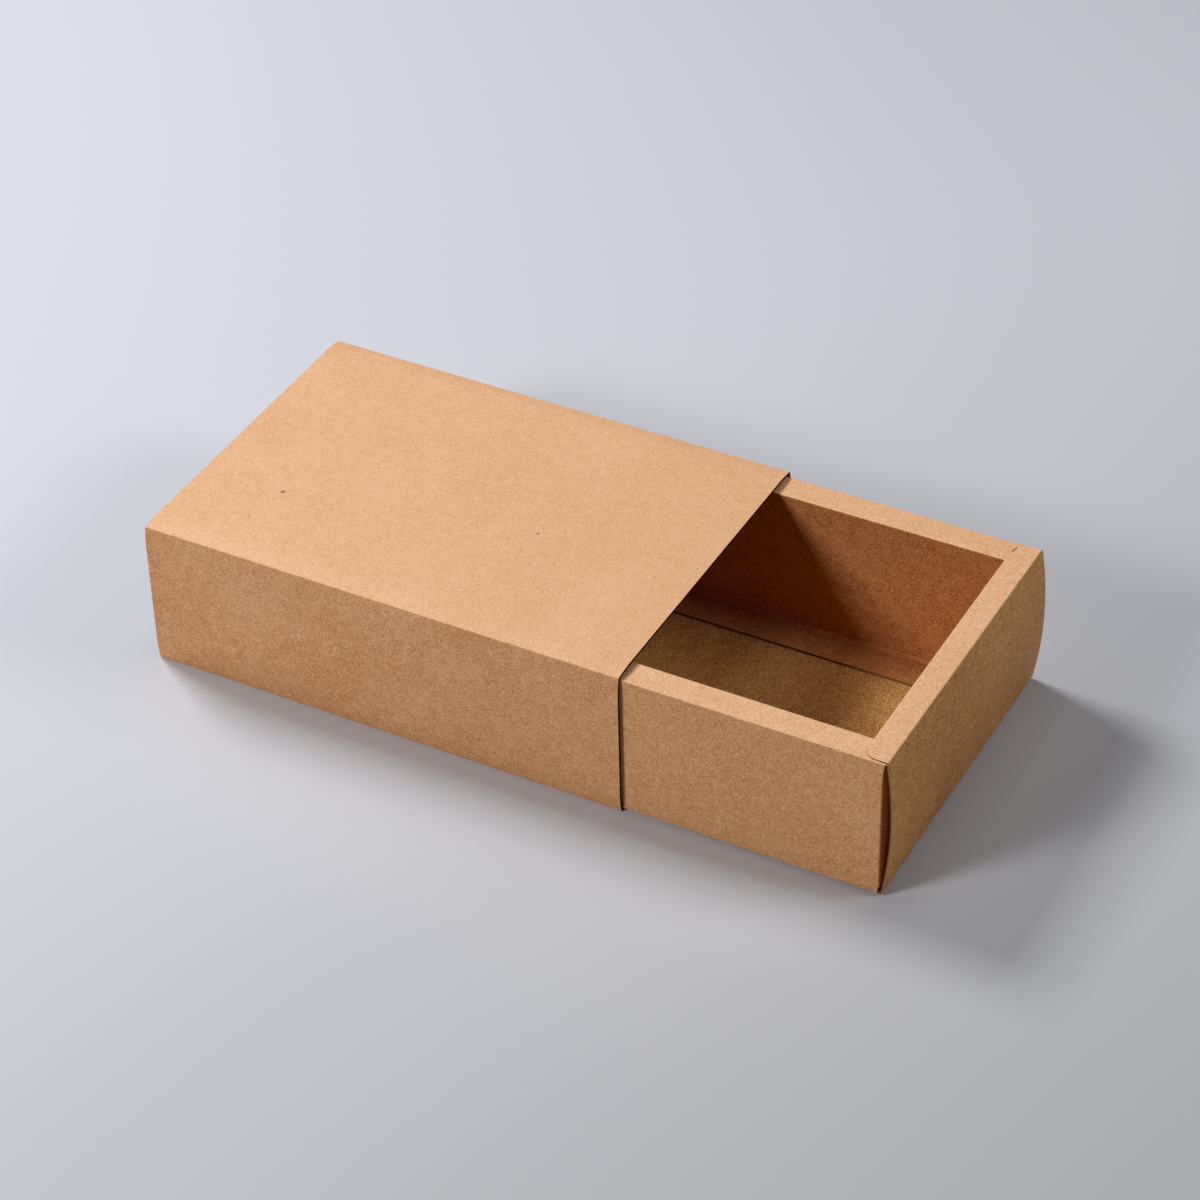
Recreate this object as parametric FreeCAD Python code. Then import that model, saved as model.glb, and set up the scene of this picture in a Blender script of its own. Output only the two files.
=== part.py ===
import FreeCAD, Part
import math
import os

from FreeCAD import Vector

# A folded card box: a glued sleeve, open at both ends, and a drawer that slides in it.
# Millimetres. X runs the way the drawer pulls out, Y across, Z up. The origin is the middle of the
# sleeve's underside. Left and right are those of someone who faces the drawer's front.

boardThickness = 0.5
creaseRadius = 0.2  # inside radius of every crease
fitGap = 0.15  # between the edges of boards that meet inside the drawer

sleeveLength = 200.0
sleeveWidth = 138.4  # crease to crease, outside
sleeveHeight = 62.0  # crease to crease, outside
topCrown = 1.0  # how far the top panel rises above its creases
sideBow = 1.0  # how far the side panels stand out from theirs
shoulderRun = 10.0  # how far from a crease a panel has risen fully
glueFlapHeight = 15.0
glueFlapInset = 1.5  # from the sleeve's open ends
glueFlapTaper = 5.0

drawerLength = 199.4  # over the top creases of its two ends
drawerOpening = 103.4  # how far out of the sleeve the drawer stands
slideGap = 0.3  # under the drawer
sideGap = 0.3  # beside the drawer
headroom = 0.3  # above the drawer, at the sleeve's top creases
sideRimWidth = 11.5
endRimWidth = 10.2

endBulge = 2.6  # how far the end walls swell outwards between their creases
endLean = 0.8  # how far their bottom creases are set in from the top ones
floorFlapWidth = 15.0
floorFlapLift = 0.5  # its free edge springs up by this much
floorFlapTaper = 3.0
flapSeat = 0.05  # between a floor flap's crease, or an end inner wall's foot, and the floor

cornerFlapLength = 50.0
cornerFlapTaper = 4.0
cornerFlapRound = 6.0
cornerFlapFoot = 2.5  # from the floor to the flap's lower edge
cornerGap = 0.3  # between a corner flap and the end wall's bottom crease
tongueHeight = 1.2  # the side walls' ends run past their corner flaps over this much of their top

earRound = 5.0
earSlant = 0.2  # how much shorter an ear is at its inner edge
earInset = 0.8  # from the drawer's side to the ear's tip

tabWidth = 18.0
tabSpacing = 60.0  # between the middles of an end's two lock tabs
tabRound = 0.3

foldSetback = creaseRadius + boardThickness  # from a square crease's corner to where its bend starts

drawerWidth = sleeveWidth - 3 * boardThickness - 2 * sideGap
endHeight = sleeveHeight - 2 * boardThickness - slideGap - headroom
sideHeight = endHeight - boardThickness  # the end rims' ears lie on the side rims
floorTop = boardThickness
bottomCrease = drawerLength / 2 - endLean  # the floor's end creases
cornerFlapFace = bottomCrease - boardThickness - cornerGap
wallReach = cornerFlapFace - foldSetback  # half the side outer walls' length
rimReach = drawerLength / 2 - boardThickness - fitGap
tongueFoot = sideHeight - tongueHeight
tongueRound = rimReach - wallReach
innerReach = cornerFlapFace - boardThickness - fitGap
cavityHalfWidth = drawerWidth / 2 - sideRimWidth
cavityHalfLength = drawerLength / 2 - endRimWidth
flapTop = floorTop + boardThickness + flapSeat

lengthways = FreeCAD.Rotation(Vector(0, 1, 0), Vector(0, 0, 1), Vector(1, 0, 0), "XYZ")
crossways = FreeCAD.Rotation(Vector(1, 0, 0), Vector(0, 0, 1), Vector(0, -1, 0), "XYZ")
upright = FreeCAD.Rotation()


def leftOf(start, end):  # unit normal on the left of a straight stretch
    run = end - start
    return Vector(-run.y, run.x, 0) / run.Length


def crease(u, v, inside=creaseRadius):  # a corner of a section, with the inside radius of its bend
    return Vector(u, v, 0), inside


def roundCorner(before, corner, after, leftRadius, rightRadius):
    # centre, signed radius and end normals of the arc that rounds a corner, positive where the way turns left
    first, second = leftOf(before, corner), leftOf(corner, after)
    radius = leftRadius if first.cross(second).z > 0 else -rightRadius
    centre = corner + (first + second) * (radius / (1 + first.dot(second)))
    return centre, radius, first, second


def arcPoints(centre, radius, first, second, offset=0.0):  # start, middle and end, offset to the left
    middle = (first + second).normalize()
    return [centre - normal * (radius - offset) for normal in (first, middle, second)]


def ring(stretches):  # a face whose edge joins points and three-point arcs with straight lines
    edges = []
    for now, following in zip(stretches, stretches[1:] + stretches[:1]):
        if len(now) == 3:
            edges.append(Part.Arc(*now).toShape())
        if now[-1].distanceToPoint(following[0]) > 1e-6:
            edges.append(Part.LineSegment(now[-1], following[0]).toShape())
    return Part.Face(Part.Wire(edges))


def plate(corners):  # a flat outline, anticlockwise, from (u, v, radius) corners
    points = [Vector(u, v, 0) for u, v, radius in corners]
    stretches = []
    for i, (u, v, radius) in enumerate(corners):
        before, after = points[i - 1], points[(i + 1) % len(points)]
        bend = roundCorner(before, points[i], after, radius, radius)
        stretches.append(arcPoints(*bend) if radius else [points[i]])
    return ring(stretches)


def boardSection(corners, before=None, after=None):
    # section of one panel, its visible face on the corners and its thickness on their left; where before or
    # after names the next corner of the strip, the panel ends in the middle of the crease that it shares
    points = [point for point, inside in corners]
    ends = ([before] if before else []), ([after] if after else [])
    chain = ends[0] + points + ends[1]
    insides = [inside for point, inside in corners]
    insides = insides[0 if before else 1:len(insides) if after else -1]
    bends = []
    for i, inside in enumerate(insides, 1):
        outer = inside + boardThickness
        bends.append(roundCorner(chain[i - 1], chain[i], chain[i + 1], outer, inside))
    if before:
        centre, radius, first, second = bends[0]
        bends[0] = centre, radius, (first + second).normalize(), second
    if after:
        centre, radius, first, second = bends[-1]
        bends[-1] = centre, radius, first, (first + second).normalize()
    faces = []
    for offset in (0.0, boardThickness):
        way = [] if before else [[points[0] + leftOf(points[0], points[1]) * offset]]
        way += [arcPoints(*bend, offset) for bend in bends]
        way += [] if after else [[points[-1] + leftOf(points[-2], points[-1]) * offset]]
        faces.append(way)
    back = [stretch[::-1] for stretch in reversed(faces[1])]
    return ring(faces[0] + back)


def stripSections(panels):  # sections of panels that follow one another in one folded strip
    sections = {}
    names = list(panels)
    for i, name in enumerate(names):
        before = panels[names[i - 1]][-2][0] if i else None
        after = panels[names[i + 1]][1][0] if i + 1 < len(names) else None
        sections[name] = boardSection(panels[name], before, after)
    return sections


def carry(face, plane, start, end):  # a section carried along its plane's normal
    solid = face.extrude(Vector(0, 0, end - start))
    solid.translate(Vector(0, 0, start))
    solid.Placement = FreeCAD.Placement(Vector(), plane).multiply(solid.Placement)
    return solid


def only(shape):  # the one solid that a cut leaves
    return shape.removeSplitter().Solids[0]


def bowRadius(before, corner, after, reach):  # inside radius of a gentle bend that starts at reach
    turn = leftOf(before, corner).getAngle(leftOf(corner, after))
    return reach / math.tan(turn / 2) - boardThickness


def bowed(start, end, rise, run):
    # two gentle bends between creases: the panel rises to the right of its way within run at each end
    along = (end - start).normalize()
    out = Vector(along.y, -along.x, 0) * rise
    first = start + along * (run / 2) + out
    second = end - along * (run / 2) + out
    inside = bowRadius(start, first, second, run / 2 - foldSetback)
    return [crease(first.x, first.y, inside), crease(second.x, second.y, inside)]


def sleevePanels():
    half = sleeveWidth / 2
    foot, rightFold = Vector(half, 0, 0), Vector(half, sleeveHeight, 0)
    leftFold, leftFoot = Vector(-half, sleeveHeight, 0), Vector(-half, 0, 0)
    rightBow = bowed(foot, rightFold, sideBow, shoulderRun)
    # the glue flap lies on the right side's inner face: the same line, one board further in
    lean = leftOf(foot, rightBow[0][0])
    kink = leftOf(rightBow[0][0], rightBow[1][0])
    innerKnee = rightBow[0][0] + (lean + kink) * (boardThickness / (1 + lean.dot(kink)))
    rise = Vector(lean.y, -lean.x, 0)
    innerFoot = innerKnee - rise * (innerKnee.y / rise.y)
    knee = crease(innerKnee.x, innerKnee.y, rightBow[0][1] - boardThickness)
    flapEdge = crease(innerKnee.x, glueFlapHeight)
    corners = [crease(point.x, point.y) for point in (foot, rightFold, leftFold, leftFoot, innerFoot)]
    return stripSections({
        "sleeve_right_side": [corners[0]] + rightBow + [corners[1]],
        "sleeve_top_panel": [corners[1]] + bowed(rightFold, leftFold, topCrown, shoulderRun) + [corners[2]],
        "sleeve_left_side": [corners[2]] + bowed(leftFold, leftFoot, sideBow, shoulderRun) + [corners[3]],
        "sleeve_bottom_panel": [corners[3], corners[4]],
        "sleeve_glue_flap": [corners[4], knee, flapEdge],
    })


def makeSleeve():
    nodes = {}
    for name, section in sleevePanels().items():
        nodes[name] = carry(section, lengthways, -sleeveLength / 2, sleeveLength / 2)
    reach = sleeveLength / 2 - glueFlapInset
    trapeze = plate([
        (-reach, -glueFlapHeight, 0), (reach, -glueFlapHeight, 0), (reach, foldSetback, 0),
        (reach - glueFlapTaper, glueFlapHeight, 0), (-reach + glueFlapTaper, glueFlapHeight, 0),
        (-reach, foldSetback, 0),
    ])
    allowed = carry(trapeze, crossways, -sleeveWidth, sleeveWidth)
    nodes["sleeve_glue_flap"] = only(nodes["sleeve_glue_flap"].common(allowed))
    return nodes


def sideStrip():  # floor and both long sides, seen along X
    half, inner = drawerWidth / 2, cavityHalfWidth
    edge = inner - floorFlapWidth
    right = [
        crease(half, 0), crease(half, sideHeight), crease(inner, sideHeight),
        crease(inner, flapTop), crease(edge, flapTop + floorFlapLift),
    ]
    left = [crease(-point.x, point.y) for point, inside in reversed(right)]
    way = left + right
    names = [
        "drawer_left_floor_flap", "drawer_left_inner_wall", "drawer_left_rim", "drawer_left_outer_wall",
        "drawer_floor", "drawer_right_outer_wall", "drawer_right_rim", "drawer_right_inner_wall",
        "drawer_right_floor_flap",
    ]
    return stripSections({name: way[i:i + 2] for i, name in enumerate(names)})


def endStrip():  # one end's outer wall, rim and inner wall, seen along Y
    top, seam = drawerLength / 2, bottomCrease - foldSetback
    foot, head = Vector(bottomCrease, 0, 0), Vector(top, endHeight, 0)
    along = head - foot
    out = Vector(along.y, -along.x, 0).normalize()
    peak = (foot + head) / 2 + out * (2 * endBulge)  # where the arc's end tangents meet
    reach = (peak - foot).Length - 2 * foldSetback
    inside = bowRadius(foot, peak, head, reach)
    return stripSections({
        "outer_wall": [crease(seam, 0), crease(foot.x, 0), crease(peak.x, peak.y, inside), crease(top, endHeight)],
        "rim": [crease(top, endHeight), crease(cavityHalfLength, endHeight)],
        "inner_wall": [crease(cavityHalfLength, endHeight), crease(cavityHalfLength, fitGap)],
    })


def earedOutline():  # the end rim seen from above: its ears have a rounded inner corner
    inner = cavityHalfLength - foldSetback
    earEdge = cavityHalfLength + foldSetback + fitGap
    fold = cavityHalfWidth - fitGap
    tip, root = drawerWidth / 2 - earInset, drawerWidth / 2 - earInset - earSlant
    outer = drawerLength / 2 + boardThickness
    half = [(outer, tip, 0), (earEdge, root, earRound), (earEdge, fold, 0), (inner, fold, 0)]
    return plate([(x, -y, radius) for x, y, radius in reversed(half)] + half)


def lockingOutline():
    # the end inner wall seen along X: its foot stands on the floor, clears the floor flaps at both corners
    # and has two tabs that drop into the floor's slots
    side = cavityHalfWidth - fitGap
    step = cavityHalfWidth - floorFlapWidth - fitGap
    ledge = flapTop + floorFlapLift + fitGap
    foot = floorTop + flapSeat
    half = [(step, foot, 0), (step, ledge, 0), (side, ledge, 0), (side, endHeight + boardThickness, 0)]
    tabs = []
    for middle in (-tabSpacing / 2, tabSpacing / 2):
        low, high = middle - tabWidth / 2, middle + tabWidth / 2
        tabs += [(low, foot, 0), (low, fitGap, tabRound), (high, fitGap, tabRound), (high, foot, 0)]
    return plate([(-y, z, radius) for y, z, radius in reversed(half)] + tabs + half)


def makeEnd():  # the front end; the rear one is its mirror image
    sections = endStrip()
    half = drawerWidth / 2
    outer = carry(sections["outer_wall"], crossways, -half, half)
    rim = carry(sections["rim"], crossways, -half, half)
    inner = carry(sections["inner_wall"], crossways, -half, half)
    overRim = carry(earedOutline(), upright, 0, endHeight + boardThickness)
    overWall = carry(lockingOutline(), lengthways, 0, drawerLength)
    return {"outer_wall": outer, "rim": only(rim.common(overRim)), "inner_wall": only(inner.common(overWall))}


def cornerFlap():  # folded in from the front end of the right outer wall, into the hollow end
    half = drawerWidth / 2
    section = boardSection([crease(wallReach, -half), crease(cornerFlapFace, -half),
                            crease(cornerFlapFace, -half + cornerFlapLength)])
    low, high = floorTop + cornerFlapFoot, tongueFoot - tongueRound - fitGap
    end = -half + cornerFlapLength
    taper = plate([
        (-half - boardThickness, low, 0), (-half + foldSetback, low, 0),
        (end, low + cornerFlapTaper, cornerFlapRound), (end, high - cornerFlapTaper, cornerFlapRound),
        (-half + foldSetback, high, 0), (-half - boardThickness, high, 0),
    ])
    flap = carry(section, upright, low, high).common(carry(taper, lengthways, 0, drawerLength))
    return only(flap).mirror(Vector(), Vector(0, 1, 0))


def endRelief():  # what is cut from a side outer wall's end below its tongue
    low, far = -sideHeight, drawerLength
    return plate([(wallReach, low, 0), (far, low, 0), (far, tongueFoot, 0), (wallReach, tongueFoot, tongueRound)])


def slots():  # in the floor, for the end inner walls' lock tabs
    low, high = cavityHalfLength - fitGap, cavityHalfLength + boardThickness + fitGap
    reach = tabWidth / 2 + fitGap
    for end in (1, -1):
        for middle in (-tabSpacing / 2, tabSpacing / 2):
            corners = [(low, middle - reach, 0), (high, middle - reach, 0),
                       (high, middle + reach, 0), (low, middle + reach, 0)]
            slot = carry(plate(corners), upright, -boardThickness, 2 * boardThickness)
            yield slot if end > 0 else slot.mirror(Vector(), Vector(1, 0, 0))


def flapOutline():  # a floor flap seen from above, tapered towards its free edge
    reach = innerReach
    root = cavityHalfWidth + boardThickness
    edge = cavityHalfWidth - floorFlapWidth - boardThickness
    return plate([(-reach + floorFlapTaper, edge, 0), (reach - floorFlapTaper, edge, 0),
                  (reach, root, 0), (-reach, root, 0)])


def makeDrawer():
    sections = sideStrip()
    reaches = {
        "outer_wall": rimReach, "rim": rimReach, "inner_wall": innerReach, "floor_flap": innerReach,
        "drawer_floor": bottomCrease - foldSetback,
    }
    nodes = {}
    for name, section in sections.items():
        reach = next(reaches[kind] for kind in reaches if name.endswith(kind))
        nodes[name] = carry(section, lengthways, -reach, reach)

    relief = carry(endRelief(), crossways, -drawerWidth, drawerWidth)
    for side in ("left", "right"):
        name = f"drawer_{side}_outer_wall"
        nodes[name] = only(nodes[name].cut([relief, relief.mirror(Vector(), Vector(1, 0, 0))]))
    nodes["drawer_floor"] = only(nodes["drawer_floor"].cut(list(slots())))

    rightFlap = carry(flapOutline(), upright, 0, endHeight)
    nodes["drawer_right_floor_flap"] = only(nodes["drawer_right_floor_flap"].common(rightFlap))
    leftFlap = rightFlap.mirror(Vector(), Vector(0, 1, 0))
    nodes["drawer_left_floor_flap"] = only(nodes["drawer_left_floor_flap"].common(leftFlap))

    for name, solid in makeEnd().items():
        nodes[f"drawer_front_{name}"] = solid
        nodes[f"drawer_rear_{name}"] = solid.mirror(Vector(), Vector(1, 0, 0))

    frontRight = cornerFlap()
    for end, turnX in (("front", False), ("rear", True)):
        for side, turnY in (("right", False), ("left", True)):
            flap = frontRight.mirror(Vector(), Vector(1, 0, 0)) if turnX else frontRight
            flap = flap.mirror(Vector(), Vector(0, 1, 0)) if turnY else flap
            nodes[f"drawer_{end}_{side}_corner_flap"] = flap

    # the glue flap takes one board of the sleeve's width, so the drawer runs half a board off its middle
    place = Vector(drawerOpening, -boardThickness / 2, boardThickness + slideGap)
    return {name: solid.translated(place) for name, solid in nodes.items()}


def main():
    os.makedirs("parts", exist_ok=True)
    for name, solid in {**makeSleeve(), **makeDrawer()}.items():
        solid.exportStep(f"parts/{name}.step")
        box = solid.BoundBox
        print(f"{name}: {solid.Volume:.1f} mm3, valid {solid.isValid()}, "
              f"x {box.XMin:.2f} {box.XMax:.2f} y {box.YMin:.2f} {box.YMax:.2f} z {box.ZMin:.2f} {box.ZMax:.2f}")


main()
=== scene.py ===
import bpy
import numpy as np
from mathutils import Matrix, Vector


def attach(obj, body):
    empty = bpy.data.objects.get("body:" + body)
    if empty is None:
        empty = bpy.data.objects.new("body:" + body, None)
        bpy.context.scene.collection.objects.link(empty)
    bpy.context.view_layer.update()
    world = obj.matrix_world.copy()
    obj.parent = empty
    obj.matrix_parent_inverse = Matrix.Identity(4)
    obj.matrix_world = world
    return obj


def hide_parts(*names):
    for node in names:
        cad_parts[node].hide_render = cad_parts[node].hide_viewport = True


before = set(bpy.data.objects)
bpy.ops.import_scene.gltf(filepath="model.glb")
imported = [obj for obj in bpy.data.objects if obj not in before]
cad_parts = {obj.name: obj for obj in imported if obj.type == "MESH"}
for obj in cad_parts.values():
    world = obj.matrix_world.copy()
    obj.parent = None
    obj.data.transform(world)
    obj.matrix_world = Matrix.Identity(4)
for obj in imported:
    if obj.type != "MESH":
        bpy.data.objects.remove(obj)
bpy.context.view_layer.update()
mm = 0.001
print("frame loaded:", len(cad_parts), "boards to dress")

# the drawer stands this far out of the sleeve, and runs half a board off its middle (mm)
drawerPlace = {"out": 103.4, "across": -0.25, "up": 0.8}
upX, upY, upZ = np.eye(3)


# card that is folded: a line in a section, carried along an axis

folding = {
    "arcPoints": 33, "creasePlaces": 9,  # points worked out on a bend, and grid lines kept on a crease
    "gentle": 3.0,  # inside radius in mm from which a bend is a bow and no crease
    "beside": (0.2, 0.4, 0.6, 1.0), "closest": 0.015,  # mm: grid lines beside a crease, and the least gap
    "calm": 9.0,  # mm from a crease at which a panel is free to be uneven, and where distances stop
    "waves": 6, "pitch": (38, 120),  # the slow unevenness: how many waves, and their length in mm
    "rubAndSheenWidth": 0.4,  # width of the pale rub along a crease, partly wear and partly painted highlight, as a share of the widest
    "step": 5.0,  # mm between the grid lines of a flat stretch
}


def foldLine(corners, insides, thick):
    # Straight stretches joined by arcs. An arc's centre is its corner plus the sum of the two stretches'
    # left normals times radius / (1 + cos(turn)). Where the way turns left the board is inside the bend,
    # so the visible face is one board further out than the inside radius; where it turns right it is on it.
    p = np.asarray(corners, float)
    way = np.diff(p, axis=0)
    way /= np.linalg.norm(way, axis=1, keepdims=True)
    left = np.stack([-way[:, 1], way[:, 0]], 1)
    cosTurn = (left[:-1] * left[1:]).sum(1)
    sinTurn = left[:-1, 0] * left[1:, 1] - left[:-1, 1] * left[1:, 0]
    turn = np.arctan2(sinTurn, cosTurn)
    inside = np.asarray(insides, float)
    radius = np.where(turn > 0, inside + thick, -inside)
    centre = p[1:-1] + (left[:-1] + left[1:]) * (radius / (1 + cosTurn))[:, None]
    start = np.arctan2(left[:-1, 1], left[:-1, 0])
    angle = start[:, None] + turn[:, None] * np.linspace(0, 1, folding["arcPoints"])
    lean = np.stack([np.cos(angle), np.sin(angle)], 2)
    arcs = centre[:, None] - lean * radius[:, None, None]
    points = np.concatenate([p[:1], arcs.reshape(-1, 2), p[-1:]])
    inward = np.concatenate([left[:1], lean.reshape(-1, 2), left[-1:]])
    run = np.concatenate([[0], np.cumsum(np.linalg.norm(np.diff(points, axis=0), axis=1))])
    bends = run[1:-1].reshape(len(turn), -1)
    middle = folding["arcPoints"] // 2
    return {"points": points, "inward": inward, "run": run, "thick": thick, "end": run[-1],
            "bends": bends[:, [0, middle, -1]], "sharp": inside < folding["gentle"],
            "rubAndSheenWidth": np.full(len(turn), folding["rubAndSheenWidth"]), "scored": np.zeros(0)}


def spacing(low, high, step, near=(0, 0.12, 0.3, 0.7, 1.5, 3.0)):
    # close together beside both ends, then one every step: the ends plus and minus the near distances
    near = np.asarray([n for n in near if n < (high - low) / 2])
    middle = np.linspace(low + near[-1], high - near[-1], max(2, int((high - low) / step) + 2))
    return np.unique(np.round(np.concatenate([low + near, middle, high - near]), 5))


def alongLine(line, low, high, step=folding["step"]):
    # a panel's places on its line: nine to each crease, one a millimetre on bows, the rest by spacing
    places = [spacing(low, high, step)]
    least, beside = folding["creasePlaces"], np.array(folding["beside"])
    for (first, mid, last), sharp in zip(line["bends"], line["sharp"]):
        places.append(np.linspace(first, last, least if sharp else max(least, int(last - first))))
        if sharp:
            places.append(np.concatenate([first - beside, [mid], last + beside]))
    places = np.unique(np.round(np.concatenate(places), 4))
    hair = 1e-6
    places = places[(places >= low - hair) & (places <= high + hair)]
    gap = np.diff(places, prepend=places[0] - 1)
    places = places[gap > folding["closest"]]
    places[0], places[-1] = low, high
    return places


def onLine(line, s):
    # point and inward normal at distance s along the line, read between its closely set points
    point = np.stack([np.interp(s, line["run"], line["points"][:, k]) for k in (0, 1)], -1)
    inward = np.stack([np.interp(s, line["run"], line["inward"][:, k]) for k in (0, 1)], -1)
    return point, inward / np.linalg.norm(inward, axis=-1, keepdims=True)


def creaseDistance(line, s):
    # distance along the face to the nearest crease, as far as it counts
    mids = line["bends"][line["sharp"], 1]
    return np.clip(np.abs(s[..., None] - mids).min(-1), 0, folding["calm"])


def creaseRubAndSheenDistance(line, s):
    # the same distance, made longer at folds whose pale rub and painted highlight is narrow
    mids, rubAndSheenWidth = (line[key][line["sharp"]] for key in ("bends", "rubAndSheenWidth"))
    return np.clip((np.abs(s[..., None] - mids[:, 1]) / rubAndSheenWidth).min(-1), 0, folding["calm"])


def boardSwell(line, seed, wave):
    # height over the flat board: wave * the mean of six slow cosine waves * calm^2 * (3 - 2 calm), where
    # calm is the distance to a crease as a share of the farthest that counts
    rng = np.random.default_rng(seed)
    turns = rng.uniform(0, 2 * np.pi, (folding["waves"], 2))
    pitch = rng.uniform(*folding["pitch"], folding["waves"])

    def swell(s, t):
        ways = np.cos(turns[:, 0]), np.sin(turns[:, 0])
        phase = (s[..., None] * ways[0] + t[..., None] * ways[1]) * 2 * np.pi / pitch + turns[:, 1]
        calm = creaseDistance(line, s) / folding["calm"]
        return wave * np.cos(phase).sum(-1) / folding["waves"] * calm * calm * (3 - 2 * calm)
    return swell


def faceOf(line, place, swell, s, t):
    # visible face = line(s) + axis * t + outward(s) * swell(s, t); its normal is the outward one less the
    # swell's two slopes, and the hidden face lies one board further in
    origin, axisU, axisV, axisW = place
    point, inward = onLine(line, s)
    out = -(inward[..., :1] * axisU + inward[..., 1:] * axisV)
    along = inward[..., 1:] * axisU - inward[..., :1] * axisV
    height = swell(s, t)
    step = 0.05
    slopeS = (swell(s + step, t) - swell(s - step, t)) / (2 * step)
    slopeT = (swell(s, t + step) - swell(s, t - step)) / (2 * step)
    face = origin + point[..., :1] * axisU + point[..., 1:] * axisV + t[..., None] * axisW
    face = face + out * height[..., None]
    normal = out - along * slopeS[..., None] - axisW * slopeT[..., None]
    normal /= np.linalg.norm(normal, axis=-1, keepdims=True)
    return face, face - out * line["thick"], normal


def boardShell(face, back, normal, keep):
    # a closed board: two grids, and a strip round them along every edge that one kept cell alone has.
    # Each quad's part is 0 on the visible face, 1 on the cut and 2 on the hidden face.
    rows, cols = face.shape[:2]
    count = rows * cols
    at = np.arange(count).reshape(rows, cols)
    cells = np.stack([at[:-1, :-1], at[1:, :-1], at[1:, 1:], at[:-1, 1:]], -1)
    cells = cells[keep] if keep is not None else cells.reshape(-1, 4)
    flat = face.reshape(-1, 3)
    side = np.cross(flat[cells[:, 2]] - flat[cells[:, 0]], flat[cells[:, 3]] - flat[cells[:, 1]])
    if (side * normal.reshape(-1, 3)[cells[:, 0]]).sum() < 0:
        cells = cells[:, ::-1]
    heads, tails = cells, np.roll(cells, -1, axis=1)
    there = (heads * count + tails).ravel()
    rim = ~np.isin(there, (tails * count + heads).ravel())
    a, b = heads.ravel()[rim], tails.ravel()[rim]
    quads = np.concatenate([cells, cells[:, ::-1] + count, np.stack([b, a, a + count, b + count], 1)])
    part = np.repeat([0, 2, 1], [len(cells), len(cells), len(a)]).astype(np.int32)
    points = np.concatenate([flat, back.reshape(-1, 3)]) * mm
    used, quads = np.unique(quads, return_inverse=True)
    quads = quads.reshape(-1, 4)
    points = points[used]

    # the faces are shaded round their creases, the cut flat
    cross = np.cross(points[quads[:, 2]] - points[quads[:, 0]], points[quads[:, 3]] - points[quads[:, 1]])
    cross /= np.maximum(np.linalg.norm(cross, axis=1, keepdims=True), 1e-12)
    smooth = np.concatenate([normal.reshape(-1, 3), -normal.reshape(-1, 3)])[used]
    corner = np.where((part == 1)[:, None, None], cross[:, None], smooth[quads])
    return points, quads, part, corner, used


def rubAndSheenDistances(line, s, t):
    # how far each point is, in mm, from a crease, from a cut edge and from the middle of a scored fold
    far, hair = folding["calm"], 1e-3
    edge = np.minimum.reduce([np.abs(t - t[:, :1]), np.abs(t - t[:, -1:])])
    if line["run"][0] >= s.min() - hair:
        edge = np.minimum(edge, s - s.min())
    if line["run"][-1] <= s.max() + hair:
        edge = np.minimum(edge, s.max() - s)
    scored = np.abs(s[..., None] - line["scored"]).min(-1, initial=far)
    return {"crease": creaseRubAndSheenDistance(line, s), "edge": np.clip(edge, 0, far), "scored": scored}


def boardPiece(name, node, body, finish, line, place, s, t, seed, wave, keep=None, slope=0.0):
    # with a slope the visible face stops that much short of the hidden one at both ends of the axis
    swell = boardSwell(line, seed, wave)
    back = faceOf(line, place, swell, s, t)[1]
    face, _, normal = faceOf(line, place, swell, s, t * (1 - slope / np.abs(t).max()))
    points, quads, part, corner, used = boardShell(face, back, normal, keep)
    mesh = bpy.data.meshes.new(name)
    mesh.from_pydata(points, [], quads)
    mesh.polygons.foreach_set("use_smooth", np.ones(len(quads), bool))
    mesh.polygons.foreach_set("material_index", part)
    mesh.normals_split_custom_set(corner.reshape(-1, 3))
    for label, distance in rubAndSheenDistances(line, s, t).items():
        layer = mesh.attributes.new(label, "FLOAT", "POINT")
        layer.data.foreach_set("value", np.tile(distance.ravel(), 2)[used].astype(np.float32))
    for material in finish:
        mesh.materials.append(material)
    piece = bpy.data.objects.new(name, mesh)
    bpy.context.scene.collection.objects.link(piece)
    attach(piece, body)
    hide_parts(node)


def sheet(line, low, high, reach):
    # a panel's two parameters: s down its own stretch of the line, t between minus and plus reach(point)
    s = alongLine(line, low, high)
    limit = np.asarray(reach(onLine(line, s)[0]), float) * np.ones(len(s))
    widest = limit.max()
    share = spacing(-widest, widest, folding["step"]) / widest
    band = 3.01  # mm, just over the last of the places that stand close beside an edge
    ends = np.abs(share) * widest > widest - band
    t = share[None] * limit[:, None]
    # the closely set places keep their distance from the edge however narrow the row is
    near = np.sign(share) * (limit[:, None] - widest + np.abs(share) * widest)
    t = np.where(ends[None], near, t)
    return np.broadcast_to(s[:, None], t.shape).copy(), t


# finishes: the card's colours, with painted shade in the colours of its faces

def newMaterial(name):
    material = bpy.data.materials.new(name)
    material.use_nodes = True
    nodes, links = material.node_tree.nodes, material.node_tree.links
    shader = next(n for n in nodes if n.type == "BSDF_PRINCIPLED")
    return material, nodes, links, shader


def mathNode(nodes, links, kind, *values, clamp=False):
    node = nodes.new("ShaderNodeMath")
    node.operation = kind
    node.use_clamp = clamp
    for socket, value in zip(node.inputs, values):
        if isinstance(value, (int, float)):
            socket.default_value = value
        else:
            links.new(value, socket)
    return node.outputs[0]


def rangeNode(nodes, links, value, low, high, toLow=0.0, toHigh=1.0):
    node = nodes.new("ShaderNodeMapRange")
    node.interpolation_type = "SMOOTHSTEP"
    links.new(value, node.inputs["Value"])
    for label, number in (("From Min", low), ("From Max", high), ("To Min", toLow), ("To Max", toHigh)):
        node.inputs[label].default_value = number
    return node.outputs["Result"]


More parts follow.
